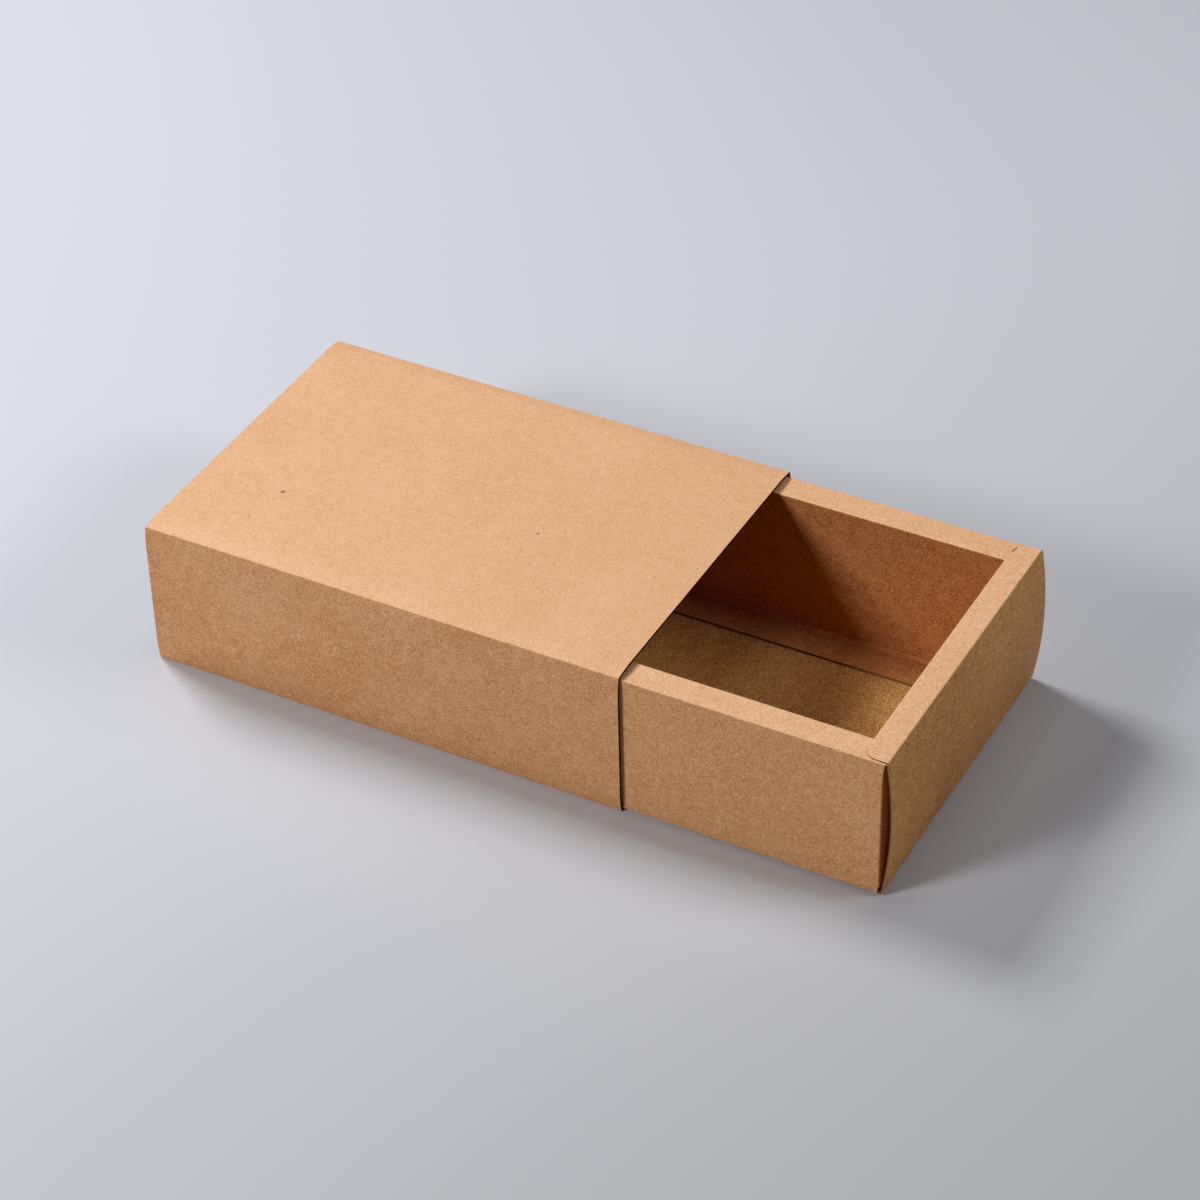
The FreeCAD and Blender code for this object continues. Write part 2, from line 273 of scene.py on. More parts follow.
def noiseNode(nodes, links, coords, size, detail, rough, stretch=(1, 1, 1), turn=(0, 0, 0)):
    # size is the pattern's own, in mm
    mapping = nodes.new("ShaderNodeMapping")
    mapping.inputs["Scale"].default_value = [1 / (size * mm * k) for k in stretch]
    mapping.inputs["Rotation"].default_value = turn
    links.new(coords, mapping.inputs["Vector"])
    noise = nodes.new("ShaderNodeTexNoise")
    noise.inputs["Scale"].default_value = 1.0
    noise.inputs["Detail"].default_value = detail
    noise.inputs["Roughness"].default_value = rough
    links.new(mapping.outputs["Vector"], noise.inputs["Vector"])
    return noise.outputs["Fac"]


def mixColour(nodes, links, share, first, second):
    node = nodes.new("ShaderNodeMix")
    node.data_type = "RGBA"
    for label, value in (("Factor", share), ("A", first), ("B", second)):
        socket = next(i for i in node.inputs if i.name == label and (label == "Factor" or i.type == "RGBA"))
        if isinstance(value, (tuple, list)):
            socket.default_value = (*value, 1)
        else:
            links.new(value, socket)
    return next(o for o in node.outputs if o.type == "RGBA")


# mean colour of each face of the card, with painted shade: the same card is lighter on the top and rims
# and darker on the sides, ends, inner faces and drawer floor, by how the light falls on them; and how
# strongly its fibres show
kraftLitAndShaded = {
    "top": ((0.804, 0.457, 0.247), 0.25),
    "rim": ((0.820, 0.467, 0.253), 0.32),
    "side": ((0.680, 0.337, 0.146), 0.52),
    "end": ((0.541, 0.259, 0.060), 0.82),
    "wall": ((0.586, 0.226, 0.070), 0.72),
    "flap": ((0.560, 0.232, 0.066), 0.78),
    "floor": ((0.735, 0.340, 0.088), 0.84),
    "inside": ((0.400, 0.192, 0.075), 0.45),
}
cuts = {"card": (0.22, 0.10, 0.04), "mouthShade": (0.05, 0.017, 0.009)}  # the board's cut, painted near-black at the mouths as the shade in the gap
grain = {
    "fibre": 0.38, "fibreLength": 2.2, "fibreGain": 1.7,  # width in mm, length over width, and contrast
    "fibreDepth": 0.7,  # how much of that length the second set has the third way
    "fibreTurns": ((0.3, 0.2, 0.45), (0.2, 0.4, 0.35)),  # how the two sets are turned, in radians
    "blotch": 3.6, "blotchGain": 0.55, "cloud": 40.0, "cloudGain": 0.3,  # size in mm, and contrast
    # flecks of bark: size in mm, the noise between which they show, their strength and how dark they are
    "fleck": 1.3, "fleckRange": (0.72, 0.8), "fleckShare": 0.5, "fleckShade": 0.45,
    "colourShare": (0.68, 1.05, 1.7),  # how far red, green and blue follow the fibres
    "roughness": 0.62, "roughSwing": 0.16, "shine": 0.35, "relief": 0.05, "bump": 0.35,
}
wearAndHighlight = {
    "rubAndSheen": 0.9, "creaseWidth": 0.55,  # strength of the pale rub, partly wear and partly painted highlight, and how far it reaches from a crease in mm
    "edgeShare": 0.6, "edgeWidth": 0.4,  # the same beside a cut edge, the strength as a share of the first
    "patches": (0.25, 0.6),  # the blotches' noise between which the rub comes and goes
    "rubAndSheenGain": 1.3, "rubAndSheenLift": 0.03,  # its colour: the mean colour times one plus the other
    # the pair of painted highlight lines along a scored fold's bead: strength, place, half width and soft
    # edge in mm, colour
    "score": 0.9, "scoreAt": 0.7, "scoreHalf": 0.3, "scoreSoft": 0.2, "scoreGain": 1.5, "scoreLift": 0.08,
}
# specks of bark in the sleeve's top panel and the drawer's right wall, then a painted shadow of the gap
# under the far ear where its cut starts, as a row of dark marks: place and width in mm
specksAndSlitShadow = [((-64.7, -28.3, 62.9), 2.4), ((34.0, -8.7, 62.9), 1.5), ((138.1, 56.2, 29.0), 1.5)]
slitShadow = {"start": (193.6, 61.9, 61.1), "step": (0.08, 0.65, 0.0), "width": 1.15, "marks": 6}
specksAndSlitShadow += [(tuple(at + by * k for at, by in zip(slitShadow["start"], slitShadow["step"])), slitShadow["width"])
           for k in range(slitShadow["marks"])]
# a mark is solid within one share of its width and gone past another, both made ragged by the noise
speckAndShadowLook = {"ragged": 1.2, "solid": 0.75, "clear": 1.15, "strength": 0.85, "colour": (0.10, 0.045, 0.02)}
cutLook = {"layer": 0.35, "range": (0.3, 0.7), "dark": 0.7, "pale": 1.3, "roughness": 0.9, "shine": 0.05}


def mottleOf(nodes, links, fibres, blotch, cloud):
    # a half, plus each noise's gain times how far it is from its average, which is 1 for the fibres and a
    # half for the others
    mottle = mathNode(nodes, links, "MULTIPLY_ADD", fibres, grain["fibreGain"], 0.5 - grain["fibreGain"])
    mottle = mathNode(nodes, links, "MULTIPLY_ADD", blotch, grain["blotchGain"], mottle)
    mottle = mathNode(nodes, links, "MULTIPLY_ADD", cloud, grain["cloudGain"], mottle)
    mean = (grain["blotchGain"] + grain["cloudGain"]) / 2
    return mathNode(nodes, links, "SUBTRACT", mottle, mean, clamp=True)


def markSpecksAndSlitShadow(nodes, links, coords, noise, colour):
    # each bark speck or mark of painted shadow is dark where distance + ragged * noise stays inside its
    # width
    for place, across in specksAndSlitShadow:
        vector = nodes.new("ShaderNodeVectorMath")
        vector.operation = "DISTANCE"
        links.new(coords, vector.inputs[0])
        vector.inputs[1].default_value = [c * mm for c in place]
        ragged = mathNode(nodes, links, "MULTIPLY_ADD", noise, speckAndShadowLook["ragged"] * across * mm,
                          vector.outputs["Value"])
        solid, clear = speckAndShadowLook["solid"] * across * mm, speckAndShadowLook["clear"] * across * mm
        mark = rangeNode(nodes, links, ragged, solid, clear, speckAndShadowLook["strength"], 0.0)
        colour = mixColour(nodes, links, mark, colour, speckAndShadowLook["colour"])
    return colour


def rubAndHighlightFolds(nodes, links, blotch, colour, mean):
    # paler than the mean colour beside creases and cut edges, in patches, partly wear and partly painted
    # highlight, and a pair of painted highlight lines along scored folds
    away = {}
    for label in ("crease", "edge", "scored"):
        attribute = nodes.new("ShaderNodeAttribute")
        attribute.attribute_name = label
        away[label] = attribute.outputs["Fac"]
    crease = rangeNode(nodes, links, away["crease"], 0.0, wearAndHighlight["creaseWidth"], wearAndHighlight["rubAndSheen"], 0.0)
    edgeRub = wearAndHighlight["rubAndSheen"] * wearAndHighlight["edgeShare"]
    edge = rangeNode(nodes, links, away["edge"], 0.0, wearAndHighlight["edgeWidth"], edgeRub, 0.0)
    rubAndSheen = mathNode(nodes, links, "MAXIMUM", crease, edge)
    rubAndSheen = mathNode(nodes, links, "MULTIPLY", rubAndSheen, rangeNode(nodes, links, blotch, *wearAndHighlight["patches"]))
    near, far = wearAndHighlight["scoreAt"] - wearAndHighlight["scoreHalf"], wearAndHighlight["scoreAt"] + wearAndHighlight["scoreHalf"]
    starts = rangeNode(nodes, links, away["scored"], near, near + wearAndHighlight["scoreSoft"])
    ends = rangeNode(nodes, links, away["scored"], far - wearAndHighlight["scoreSoft"], far, wearAndHighlight["score"], 0.0)
    line = mathNode(nodes, links, "MULTIPLY", starts, ends)
    rubAndSheenColour = [min(1.0, c * wearAndHighlight["rubAndSheenGain"] + wearAndHighlight["rubAndSheenLift"]) for c in mean]
    scored = [min(1.0, c * wearAndHighlight["scoreGain"] + wearAndHighlight["scoreLift"]) for c in mean]
    colour = mixColour(nodes, links, rubAndSheen, colour, rubAndSheenColour)
    return mixColour(nodes, links, line, colour, scored)


def kraftBoard(name, mean, contrast):
    # mottled brown card: two crossed sets of stretched fibres over blotches and slow clouds, flecks of bark,
    # and a paler rub beside creases and cut edges, partly wear and partly painted highlight
    material, nodes, links, shader = newMaterial(name)
    coords = nodes.new("ShaderNodeTexCoord").outputs["Object"]
    width, long, turns = grain["fibre"], grain["fibreLength"], grain["fibreTurns"]
    deep = long * grain["fibreDepth"]
    first = noiseNode(nodes, links, coords, width, detail=2, rough=0.65, stretch=(long, 1, 1), turn=turns[0])
    second = noiseNode(nodes, links, coords, width, detail=2, rough=0.65,
                       stretch=(1, long, deep), turn=turns[1])
    blotch = noiseNode(nodes, links, coords, grain["blotch"], detail=4, rough=0.65)
    cloud = noiseNode(nodes, links, coords, grain["cloud"], detail=2, rough=0.5)
    fibres = mathNode(nodes, links, "ADD", first, second)  # about 1 on average
    pale = [min(1.0, c * (1 + contrast * k)) for c, k in zip(mean, grain["colourShare"])]
    dark = [max(0.0, c * (1 - contrast * k)) for c, k in zip(mean, grain["colourShare"])]
    colour = mixColour(nodes, links, mottleOf(nodes, links, fibres, blotch, cloud), dark, pale)
    fleck = noiseNode(nodes, links, coords, grain["fleck"], detail=1, rough=0.4)
    fleck = rangeNode(nodes, links, fleck, *grain["fleckRange"], 0.0, grain["fleckShare"])
    colour = mixColour(nodes, links, fleck, colour, [c * grain["fleckShade"] for c in dark])
    colour = markSpecksAndSlitShadow(nodes, links, coords, first, colour)
    links.new(rubAndHighlightFolds(nodes, links, blotch, colour, mean), shader.inputs["Base Color"])

    swing = grain["roughSwing"]
    rough = mathNode(nodes, links, "MULTIPLY_ADD", fibres, swing, grain["roughness"] - swing)
    links.new(rough, shader.inputs["Roughness"])
    shader.inputs["Specular IOR Level"].default_value = grain["shine"]
    bump = nodes.new("ShaderNodeBump")
    bump.inputs["Strength"].default_value = grain["bump"]
    bump.inputs["Distance"].default_value = grain["relief"] * mm
    links.new(fibres, bump.inputs["Height"])
    links.new(bump.outputs["Normal"], shader.inputs["Normal"])
    return material


def cutEdge(name, mean):
    # the board's cut: layers of fibre, darker and paler than the mean colour
    material, nodes, links, shader = newMaterial(name)
    coords = nodes.new("ShaderNodeTexCoord").outputs["Object"]
    layers = noiseNode(nodes, links, coords, cutLook["layer"], detail=4, rough=0.7)
    colour = mixColour(nodes, links, rangeNode(nodes, links, layers, *cutLook["range"]),
                       [c * cutLook["dark"] for c in mean], [c * cutLook["pale"] for c in mean])
    links.new(colour, shader.inputs["Base Color"])
    shader.inputs["Roughness"].default_value = cutLook["roughness"]
    shader.inputs["Specular IOR Level"].default_value = cutLook["shine"]
    return material


faces = {kind: kraftBoard(kind + "Kraft", *look) for kind, look in kraftLitAndShaded.items()}
edges = {kind: cutEdge(kind + "Cut", mean) for kind, mean in cuts.items()}


# the hidden faces take the darker inside colour, a painted shade that cuts the light bounced round inside
# the sleeve and drawer
def finishOf(kind, back="inside", cut="card"):  # visible face, cut edge, hidden face
    return [faces[kind], edges[cut], faces[back]]


# where each group of boards starts in the random draws
seeds = {"sleeve": 0, "sides": 10, "endOuterWall": 30, "endRim": 33, "endInnerWall": 36, "cornerFlap": 40}
print("finishes ready:", len(bpy.data.materials))


# the sleeve: one sheet folded round the drawer and glued along its right foot

sleeve = {
    "length": 200.0, "width": 138.4, "height": 62.0, "thick": 0.5, "creaseInside": 0.2,
    "crown": 1.0, "bow": 1.0, "shoulder": 10.0,  # rise of the top and of the sides, and where it is reached
    "flapHeight": 15.0, "flapInset": 1.5, "flapTaper": 5.0,  # the glue flap, inside the right foot
    "wave": 0.07,  # unevenness of the panels that stand free
    "cutSlope": 0.4,  # how far the cut round the two mouths leans
}


def bowedCorners(start, end, rise, run, fold, thick):
    # two gentle bends between creases: each is half the run in from its crease and one rise to the right
    # of the way, with the radius whose tangent reaches back to the crease's own bend
    start, end = np.asarray(start, float), np.asarray(end, float)
    way = (end - start) / np.linalg.norm(end - start)
    out = np.array([way[1], -way[0]]) * rise
    first, second = start + way * run / 2 + out, end - way * run / 2 + out
    slope = np.arctan2(rise, run / 2)
    inside = (run / 2 - fold) / np.tan(slope / 2) - thick
    return [(first, inside), (second, inside)]


def makeSleeve(d):
    half, high, thick, fold = d["width"] / 2, d["height"], d["thick"], d["creaseInside"]
    reach = fold + thick
    foot, rightFold, leftFold, leftFoot = (half, 0), (half, high), (-half, high), (-half, 0)
    rightBow = bowedCorners(foot, rightFold, d["bow"], d["shoulder"], reach, thick)
    topBow = bowedCorners(rightFold, leftFold, d["crown"], d["shoulder"], reach, thick)
    leftBow = bowedCorners(leftFold, leftFoot, d["bow"], d["shoulder"], reach, thick)
    # the glue flap repeats the right side's line one board further in
    lower = np.array([half, 0.0])
    knee, inside = rightBow[0]
    way = (knee - lower) / np.linalg.norm(knee - lower)
    left = np.array([-way[1], way[0]])
    straight = np.array([-1.0, 0.0])
    innerKnee = knee + (left + straight) * thick / (1 + left @ straight)
    innerFoot = innerKnee - way * innerKnee[1] / way[1]
    corners = [foot, rightBow[0][0], rightBow[1][0], rightFold, topBow[0][0], topBow[1][0], leftFold,
               leftBow[0][0], leftBow[1][0], leftFoot, innerFoot, innerKnee, (innerKnee[0], d["flapHeight"])]
    insides = [rightBow[0][1], rightBow[1][1], fold, topBow[0][1], topBow[1][1], fold,
               leftBow[0][1], leftBow[1][1], fold, fold, inside - thick]
    line = foldLine(corners, insides, thick)
    middle = line["bends"][:, 1]
    place = (np.zeros(3), upY, upZ, upX)
    whole = lambda point: d["length"] / 2
    flapEnd = d["length"] / 2 - d["flapInset"]
    tapered = lambda point: flapEnd - d["flapTaper"] * np.clip(
        (point[:, 1] - reach) / (d["flapHeight"] - reach), 0, 1)
    stretches = {
        "RightSide": (0, middle[2], whole, "sleeve_right_side"),
        "TopPanel": (middle[2], middle[5], whole, "sleeve_top_panel"),
        "LeftSide": (middle[5], middle[8], whole, "sleeve_left_side"),
        "BottomPanel": (middle[8], middle[9], whole, "sleeve_bottom_panel"),
        "GlueFlap": (middle[9], line["end"], tapered, "sleeve_glue_flap"),
    }
    for seed, (name, (low, high, edge, node)) in enumerate(stretches.items(), seeds["sleeve"]):
        s, t = sheet(line, low, high, edge)
        wave = 0 if name in ("BottomPanel", "GlueFlap") else d["wave"]
        # the sleeve's cut edges are painted near-black, the shade of the gap round the drawer
        finish = finishOf("top" if name == "TopPanel" else "side", cut="mouthShade")
        boardPiece("sleeve" + name, node, "sleeve", finish, line, place, s, t, seed, wave,
                   slope=d["cutSlope"])


makeSleeve(sleeve)
print("sleeve folded")


# the drawer's long sides: floor, outer walls, rims, inner walls and floor flaps in one strip

drawer = {
    "length": 199.4, "width": 136.3, "sideHeight": 59.9, "endHeight": 60.4,
    "thick": 0.5, "creaseInside": 0.2, "gap": 0.15, "sideRim": 11.5, "endRim": 10.2,
    "lean": 0.8, "bulge": 2.6,  # how far an end's head stands past its foot, and its middle past the two
    "flapWidth": 15.0, "flapLift": 0.5, "flapTaper": 3.0, "flapTop": 1.05,  # the long walls' floor flaps
    "cornerGap": 0.3,  # between an end's outer wall and its corner flaps
    "flare": 1.2, "flareHeight": 14.0,  # the long walls' ends widen this much, this far below their rims
    "trim": 0.8, "trimHeight": 1.5,  # the end walls' rounded top corners
    # width of the pale rub, partly wear and partly painted highlight, at each fold, from the floor flap to
    # the foot and from an end's foot to its inner wall: the rims' inner folds show most
    "sideRubAndSheen": (0.4, 1, 0.4, 0.4), "endRubAndSheen": (0.4, 0.4, 0.55, 1.1),
}
# unevenness of each kind of panel, in mm
waves = {
    "FloorFlap": 0.04, "InnerWall": 0.07, "Rim": 0.02, "OuterWall": 0.07, "Floor": 0.0,
    "endOuterWall": 0.07, "endRim": 0.0, "endInnerWall": 0.03, "cornerFlap": 0.03,
}
slots = {"width": 18.0, "spacing": 60.0}
# each corner flap, whose foot stands clear of the floor, and each ear of an end's rim, which lies over a
# long wall's rim; step and points set how fine their grids are
cornerFlap = {"length": 50.0, "taper": 4.0, "round": 6.0, "foot": 2.5, "step": 3.0, "points": 12}
ear = {"round": 5.0, "slant": 0.2, "inset": 0.8, "step": 2.0, "points": 14}
# an end's inner wall: its foot's gap over the floor between the tabs, and how far below the rim its
# grid lines start to spread
innerWall = {"footGap": 0.05, "knee": 3.0}
drawerOrigin = np.array([drawerPlace["out"], drawerPlace["across"], drawerPlace["up"]])


def drawerReaches(d):
    # distances from the drawer's middle to where its panels end or stand, and fold, a crease's outer radius
    fold = d["creaseInside"] + d["thick"]
    floorEnd = d["length"] / 2 - d["lean"]
    flapFace = floorEnd - d["thick"] - d["cornerGap"]
    return {
        "fold": fold, "floorEnd": floorEnd, "flapFace": flapFace, "wall": flapFace - fold,
        "rim": d["length"] / 2 - d["thick"] - d["gap"], "inner": flapFace - d["thick"] - d["gap"],
        "cavityX": d["length"] / 2 - d["endRim"], "cavityY": d["width"] / 2 - d["sideRim"],
    }


def makeSides(d):
    r = drawerReaches(d)
    half, inner, high, top = d["width"] / 2, r["cavityY"], d["sideHeight"], d["flapTop"]
    edge = inner - d["flapWidth"]
    right = [(half, 0), (half, high), (inner, high), (inner, top), (edge, top + d["flapLift"])]
    corners = [(-u, v) for u, v in reversed(right)] + right
    line = foldLine(corners, [d["creaseInside"]] * (len(corners) - 2), d["thick"])
    line["rubAndSheenWidth"] = np.array([*d["sideRubAndSheen"], *d["sideRubAndSheen"][::-1]])
    # the folds at the floor flaps' feet carry the pair of painted highlight lines
    line["scored"] = line["bends"][[0, -1], 1]
    middle = line["bends"][:, 1]
    place = (drawerOrigin, upY, upZ, upX)

    def wallEnd(point):  # the corner's fold, flaring out as the square of the height to meet the rim
        rise = np.clip((point[:, 1] - high + r["fold"]) / d["flareHeight"] + 1, 0, 1)
        return r["wall"] + d["flare"] * rise ** 2

    rimEnd = lambda point: r["rim"]
    innerEnd = lambda point: r["inner"]
    flapEnd = lambda point: r["inner"] - d["flapTaper"] * np.clip(
        (inner - np.abs(point[:, 0])) / d["flapWidth"], 0, 1)
    floorEnd = lambda point: r["floorEnd"] - r["fold"]
    bounds = [0, *middle, line["end"]]
    finishes = {
        "Floor": finishOf("side", "floor"), "FloorFlap": finishOf("flap"),
        "Rim": finishOf("rim"), "OuterWall": finishOf("side"),
        # the left inner wall takes the darker inside colour, a painted shade that cuts the light it bounces
        # onto the far inner wall
        "LeftInnerWall": finishOf("inside"), "RightInnerWall": finishOf("wall"),
    }
    snakes = {"FloorFlap": "floor_flap", "InnerWall": "inner_wall", "Rim": "rim", "OuterWall": "outer_wall"}
    kinds = [("FloorFlap", flapEnd), ("InnerWall", innerEnd), ("Rim", rimEnd), ("OuterWall", wallEnd)]
    order = [("Left", *k) for k in kinds] + [("", "Floor", floorEnd)] + [("Right", *k) for k in kinds[::-1]]
    for index, (side, kind, reach) in enumerate(order):
        node = "drawer_floor" if kind == "Floor" else f"drawer_{side.lower()}_{snakes[kind]}"
        s, t = sheet(line, bounds[index], bounds[index + 1], reach)
        keep = None
        if kind == "Floor":
            s, t, keep = slotted(line, s[:, 0], t[0], r)
        finish = finishes.get(kind) or finishes[side + kind]
        boardPiece(f"drawer{side}{kind}", node, "drawer", finish,
                   line, place, s, t, seeds["sides"] + index, waves[kind], keep=keep)


def slotted(line, s, t, r):
    # the floor's grid with lines on the slots' edges, and the cells inside the slots left out
    gap, thick = drawer["gap"], drawer["thick"]
    centre = (line["bends"][3, 1] + line["bends"][4, 1]) / 2  # halfway between the folds at the two feet
    low, high = r["cavityX"] - gap, r["cavityX"] + thick + gap
    reach = slots["width"] / 2 + gap
    ends = [m * slots["spacing"] / 2 + k * reach for m in (-1, 1) for k in (-1, 1)]
    s = np.unique(np.round(np.concatenate([s, centre + np.array(ends)]), 5))
    t = np.unique(np.round(np.concatenate([t, [-high, -low, low, high]]), 5))
    midS, midT = (s[1:] + s[:-1]) / 2 - centre, (t[1:] + t[:-1]) / 2
    inS = np.abs(np.abs(midS) - slots["spacing"] / 2) < reach
    inT = (np.abs(midT) > low) & (np.abs(midT) < high)
    gridS, gridT = np.meshgrid(s, t, indexing="ij")
    return gridS, gridT, ~(inS[:, None] & inT[None])


makeSides(drawer)
print("drawer sides folded")


# the drawer's two ends: a bulging outer wall, an eared rim and a locking inner wall

def endLine(d, r):
    # the bulge is one long bend: its tangents meet twice the bulge out from the middle of the slope, and
    # its radius is their length over tan(half the turn)
    top, high = d["length"] / 2, d["endHeight"]
    foot, head = np.array([r["floorEnd"], 0.0]), np.array([top, high])
    way = head - foot
    out = np.array([way[1], -way[0]]) / np.linalg.norm(way)
    peak = (foot + head) / 2 + out * 2 * d["bulge"]
    turn = 2 * np.arctan2(2 * d["bulge"], np.linalg.norm(way) / 2)
    inside = (np.linalg.norm(peak - foot) - 2 * r["fold"]) / np.tan(turn / 2) - d["thick"]
    start, rimEnd, tip = (r["floorEnd"] - r["fold"], 0), (r["cavityX"], high), (r["cavityX"], d["gap"])
    crease = d["creaseInside"]
    line = foldLine([start, foot, peak, head, rimEnd, tip], [crease, inside, crease, crease], d["thick"])
    line["rubAndSheenWidth"] = np.array(d["endRubAndSheen"])
    return line


def endOuterGrid(d, r, line):
    def reach(point):  # full width, and a quarter round in at the two top corners
        rise = np.clip((point[:, 1] - d["endHeight"]) / d["trimHeight"] + 1, 0, 1)
        return d["width"] / 2 - d["trim"] * (1 - np.sqrt(1 - rise ** 2))

    return sheet(line, 0, line["bends"][2, 1], reach)


def endRimGrid(d, r, line):
    # the rim is as narrow as the cavity up to the ears' cut; past it each ear reaches its root plus its
    # slant times the share of the way out, less a quarter round at the cut
    start = r["cavityX"] + r["fold"] / 2
    root = d["width"] / 2 - ear["inset"] - ear["slant"]
    cut = line["bends"][2, 2] + d["length"] / 2 - r["fold"] - start
    beside = 0.002  # mm to each side of the cut
    angles = np.linspace(0.05, np.pi / 2, ear["points"])
    rounds = cut - ear["round"] * (1 - np.cos(angles))
    s = alongLine(line, line["bends"][2, 1], line["bends"][3, 1], ear["step"])
    s = np.unique(np.round(np.concatenate([s, cut + np.array([beside, -beside]), rounds]), 4))
    x = onLine(line, s)[0][:, 0] - start
    slant = ear["slant"] * np.clip(x / (d["length"] / 2 + d["thick"] - start), 0, 1)
    lag = np.clip(1 - x / ear["round"], 0, 1)
    tip = root + slant - ear["round"] * (1 - np.sqrt(1 - lag ** 2))
    limit = np.where(x < 0, r["cavityY"] - d["gap"], tip)
    # shares of the half width: the grid lines beside the two edges, and the step between the rest
    close, step = (0, 0.002, 0.006, 0.02), 0.07
    share = spacing(-1, 1, step, close)
    t = share[None] * limit[:, None]
    return np.broadcast_to(s[:, None], t.shape).copy(), t


def endInnerGrid(d, r, line):
    # the inner wall hangs from its rim: each upright line of its grid runs down to the foot at its own
    # place, which is on a floor flap, on the floor or through a slot in it
    side, step = r["cavityY"] - d["gap"], r["cavityY"] - d["flapWidth"] - d["gap"]
    ledge, foot, tip = d["flapTop"] + d["flapLift"] + d["gap"], d["thick"] + innerWall["footGap"], d["gap"]
    halfTab = slots["width"] / 2
    beside = 0.004  # mm to each side of the foot's steps
    turns = [m * slots["spacing"] / 2 + k * halfTab for m in (-1, 1) for k in (-1, 1)] + [-step, step]
    pairs = [[c - beside, c + beside] for c in turns]
    across = np.unique(np.round(np.concatenate([spacing(-side, side, folding["step"])] + pairs), 5))
    onTab = np.abs(np.abs(across) - slots["spacing"] / 2) < halfTab
    bottom = np.where(np.abs(across) > step, ledge, np.where(onTab, tip, foot))
    downs = alongLine(line, line["bends"][3, 1], line["end"])
    drop = line["end"] - (bottom - tip)
    knee = line["bends"][3, 2] + innerWall["knee"]
    s = np.where(downs[:, None] < knee, downs[:, None],
                 knee + (downs[:, None] - knee) / (line["end"] - knee) * (drop[None] - knee))
    return s, np.broadcast_to(across[None], s.shape).copy()


def makeEnd(d, sign, name):
    r = drawerReaches(d)
    line = endLine(d, r)
    place = (drawerOrigin, upX * sign, upZ, upY)
    panels = {
        "OuterWall": (endOuterGrid, "outer_wall", "end"),
        "Rim": (endRimGrid, "rim", "rim"),
        # the end inner walls take the darker inside colour, a painted shade that cuts the light they bounce
        # into the drawer
        "InnerWall": (endInnerGrid, "inner_wall", "inside"),
    }
    for kind, (grid, snake, finish) in panels.items():
        s, t = grid(d, r, line)
        boardPiece(f"drawer{name}{kind}", f"drawer_{name.lower()}_{snake}", "drawer",
                   finishOf(finish), line, place, s, t, seeds["end" + kind] + sign, waves["end" + kind])


def makeCornerFlap(d, signX, signY, name, node):
    # the flap's edges close in by its taper and, over its tip, by a quarter round
    r = drawerReaches(d)
    half = d["width"] / 2
    root, corner = (r["wall"], -half), (r["flapFace"], -half)
    end = (r["flapFace"], cornerFlap["length"] - half)
    line = foldLine([root, corner, end], [d["creaseInside"]], d["thick"])
    low, high = d["thick"] + cornerFlap["foot"], d["sideHeight"] - d["thick"] - d["gap"]
    s = alongLine(line, 0, line["end"], cornerFlap["step"])
    angles = np.linspace(0, np.pi / 2, cornerFlap["points"])
    tip = line["end"] - cornerFlap["round"] * (1 - np.sin(angles))
    s = np.unique(np.round(np.concatenate([s, tip]), 4))
    inside = onLine(line, s)[0][:, 1] + half - r["fold"]
    narrow = cornerFlap["taper"] * np.clip(inside / (cornerFlap["length"] - r["fold"]), 0, 1)
    over = np.clip((s - line["end"]) / cornerFlap["round"] + 1, 0, 1)
    narrow = narrow + cornerFlap["round"] * (1 - np.sqrt(1 - over ** 2))
    # shares of the height: the grid lines beside the two edges, and the step between the rest
    close, step = (0, 0.004, 0.015, 0.05), 0.1
    share = spacing(0, 1, step, close)
    t = (low + narrow)[:, None] + share[None] * (high - low - 2 * narrow)[:, None]
    place = (drawerOrigin, upX * signX, upY * -signY, upZ)
    s = np.broadcast_to(s[:, None], t.shape).copy()
    # the flap's face takes the darker inner wall colour rather than the outer walls', a painted shade in the
    # corner's gap
    boardPiece(name, node, "drawer", finishOf("wall"), line, place, s, t,
               seeds["cornerFlap"] + signX + 2 * signY, waves["cornerFlap"])


for sign, name in ((1, "Front"), (-1, "Rear")):
    makeEnd(drawer, sign, name)
    for signY, side in ((1, "Right"), (-1, "Left")):
        node = f"drawer_{name.lower()}_{side.lower()}_corner_flap"
        makeCornerFlap(drawer, sign, signY, f"drawer{name}{side}CornerFlap", node)
print("drawer ends folded")


# floor, lights and camera

studio = {
    # the floor goes from pale to grey along a direction, between two places on it in m: a painted falloff of
    # the light
    "floorPale": (0.66, 0.681, 0.745), "floorGrey": (0.473, 0.478, 0.501),
    "floorWay": (0.843, -0.537), "floorFrom": -0.18, "floorTo": 0.45,
    "floorHalf": 4.0, "floorCells": 8, "floorRoughness": 0.75, "floorShine": 0.2,
    "world": 0.02, "worldColour": (0.93, 0.96, 1.0),  # faint light from all round
    "backdrop": (0.60, 0.63, 0.70),  # what the camera sees past the floor
    "aim": (0.05, 0.0, 0.03),  # the place in m that every lamp is set round
    # share of the light on a level surface, the way the light runs for one unit down, distance and size in m
    "lamps": {
        "keyStrip": dict(share=0.23, way=(0.80, 1.42), distance=1.75, size=(0.55, 0.46), level=True),
        "windowLamp": dict(share=0.47, way=(0.93, -0.28), distance=1.6, size=(0.50, 0.42)),
        "overheadLamp": dict(share=0.09, way=(0.05, -0.10), distance=1.5, size=(0.6, 0.5)),
        "rightLamp": dict(share=0.15, way=(-1.35, -0.45), distance=1.6, size=(0.7, 0.5)),
    },
}


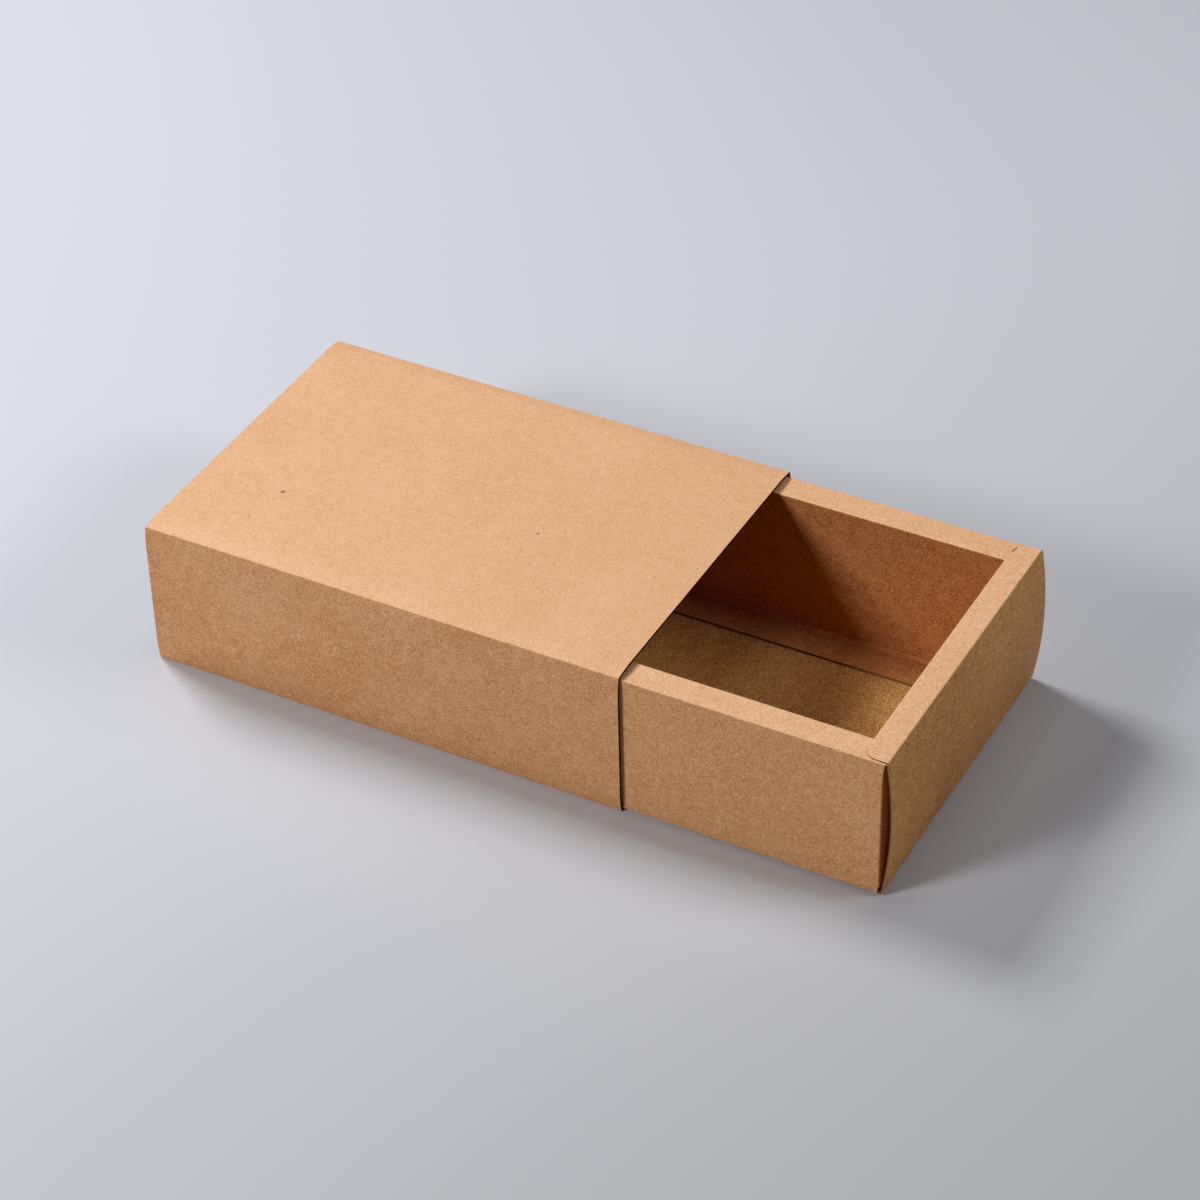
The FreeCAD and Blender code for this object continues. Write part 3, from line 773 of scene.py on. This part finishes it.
def makeFloor():
    # a level square sheet; its colour, a painted falloff of the light, follows x * wayX + y * wayY
    half, cells = studio["floorHalf"], studio["floorCells"]
    share = np.linspace(-1, 1, cells + 1)
    x, y = np.meshgrid(share * half, share * half, indexing="ij")
    points = np.stack([x, y, np.zeros_like(x)], -1).reshape(-1, 3)
    at = np.arange(x.size).reshape(x.shape)
    quads = np.stack([at[:-1, :-1], at[1:, :-1], at[1:, 1:], at[:-1, 1:]], -1).reshape(-1, 4)
    mesh = bpy.data.meshes.new("floor")
    mesh.from_pydata(points, [], quads)
    material, nodes, links, shader = newMaterial("paperFloor")
    coords = nodes.new("ShaderNodeTexCoord").outputs["Object"]
    split = nodes.new("ShaderNodeSeparateXYZ")
    links.new(coords, split.inputs[0])
    wayX, wayY = studio["floorWay"]
    along = mathNode(nodes, links, "MULTIPLY_ADD", split.outputs["X"], wayX, 0.0)
    along = mathNode(nodes, links, "MULTIPLY_ADD", split.outputs["Y"], wayY, along)
    grey = rangeNode(nodes, links, along, studio["floorFrom"], studio["floorTo"])
    colour = mixColour(nodes, links, grey, studio["floorPale"], studio["floorGrey"])
    links.new(colour, shader.inputs["Base Color"])
    shader.inputs["Roughness"].default_value = studio["floorRoughness"]
    shader.inputs["Specular IOR Level"].default_value = studio["floorShine"]
    mesh.materials.append(material)
    floor = bpy.data.objects.new("floor", mesh)
    bpy.context.scene.collection.objects.link(floor)


def makeLamps():
    # power = share * pi^2 * distance^2 / (cosine at the box * cosine at the lamp), at which a level surface
    # shows its share; a level lamp is a strip that runs across the box and looks straight ahead
    aim = Vector(studio["aim"])
    for name, lamp in studio["lamps"].items():
        way = Vector((*lamp["way"], -1)).normalized()
        ahead = Vector((way.x, 0, way.z)).normalized() if lamp.get("level") else way
        data = bpy.data.lights.new(name, "AREA")
        data.shape = "RECTANGLE"
        data.size, data.size_y = lamp["size"]
        data.energy = lamp["share"] * np.pi ** 2 * lamp["distance"] ** 2 / (-way.z * ahead.dot(way))
        light = bpy.data.objects.new(name, data)
        across = (Vector((0, 1, 0)) - ahead * ahead.y).normalized()
        turn = Matrix((across, (-ahead).cross(across), -ahead)).transposed()
        light.matrix_world = Matrix.Translation(aim - way * lamp["distance"]) @ turn.to_4x4()
        bpy.context.scene.collection.objects.link(light)
    world = bpy.data.worlds.new("studio")
    world.use_nodes = True
    nodes, links = world.node_tree.nodes, world.node_tree.links
    back = nodes["Background"]
    back.inputs["Color"].default_value = (*studio["worldColour"], 1)
    back.inputs["Strength"].default_value = studio["world"]
    seen = nodes.new("ShaderNodeBackground")
    seen.inputs["Color"].default_value = (*studio["backdrop"], 1)
    path = nodes.new("ShaderNodeLightPath")
    mix = nodes.new("ShaderNodeMixShader")
    links.new(path.outputs["Is Camera Ray"], mix.inputs[0])
    links.new(back.outputs[0], mix.inputs[1])
    links.new(seen.outputs[0], mix.inputs[2])
    links.new(mix.outputs[0], nodes["World Output"].inputs[0])
    bpy.context.scene.world = world


view = {
    "place": (586.0, -958.3, 885.7),  # mm
    "azimuth": 29.008, "elevation": 37.885, "roll": -1.478,  # degrees
    "lens": 111.39, "sensor": 36, "near": 0.01, "far": 30,
}


def makeCamera():
    a, e, r = np.radians([view["azimuth"], view["elevation"], view["roll"]])
    # back points from the box to the camera; the other two axes are rolled about it
    back = Vector((np.sin(a) * np.cos(e), -np.cos(a) * np.cos(e), np.sin(e)))
    right = (-back).cross(Vector((0, 0, 1))).normalized()
    up = right.cross(-back)
    level = right * float(np.cos(r)) + up * float(np.sin(r))
    upright = up * float(np.cos(r)) - right * float(np.sin(r))
    data = bpy.data.cameras.new("camera")
    data.lens = view["lens"]
    data.sensor_width = view["sensor"]
    data.clip_start, data.clip_end = view["near"], view["far"]
    camera = bpy.data.objects.new("camera", data)
    camera.matrix_world = Matrix.Translation(Vector(view["place"]) * mm) @ Matrix(
        (level, upright, back)).transposed().to_4x4()
    bpy.context.scene.collection.objects.link(camera)
    bpy.context.scene.camera = camera


makeFloor()
makeLamps()
makeCamera()
bpy.context.scene.view_settings.view_transform = "Standard"
print("floor, lamps and camera set")
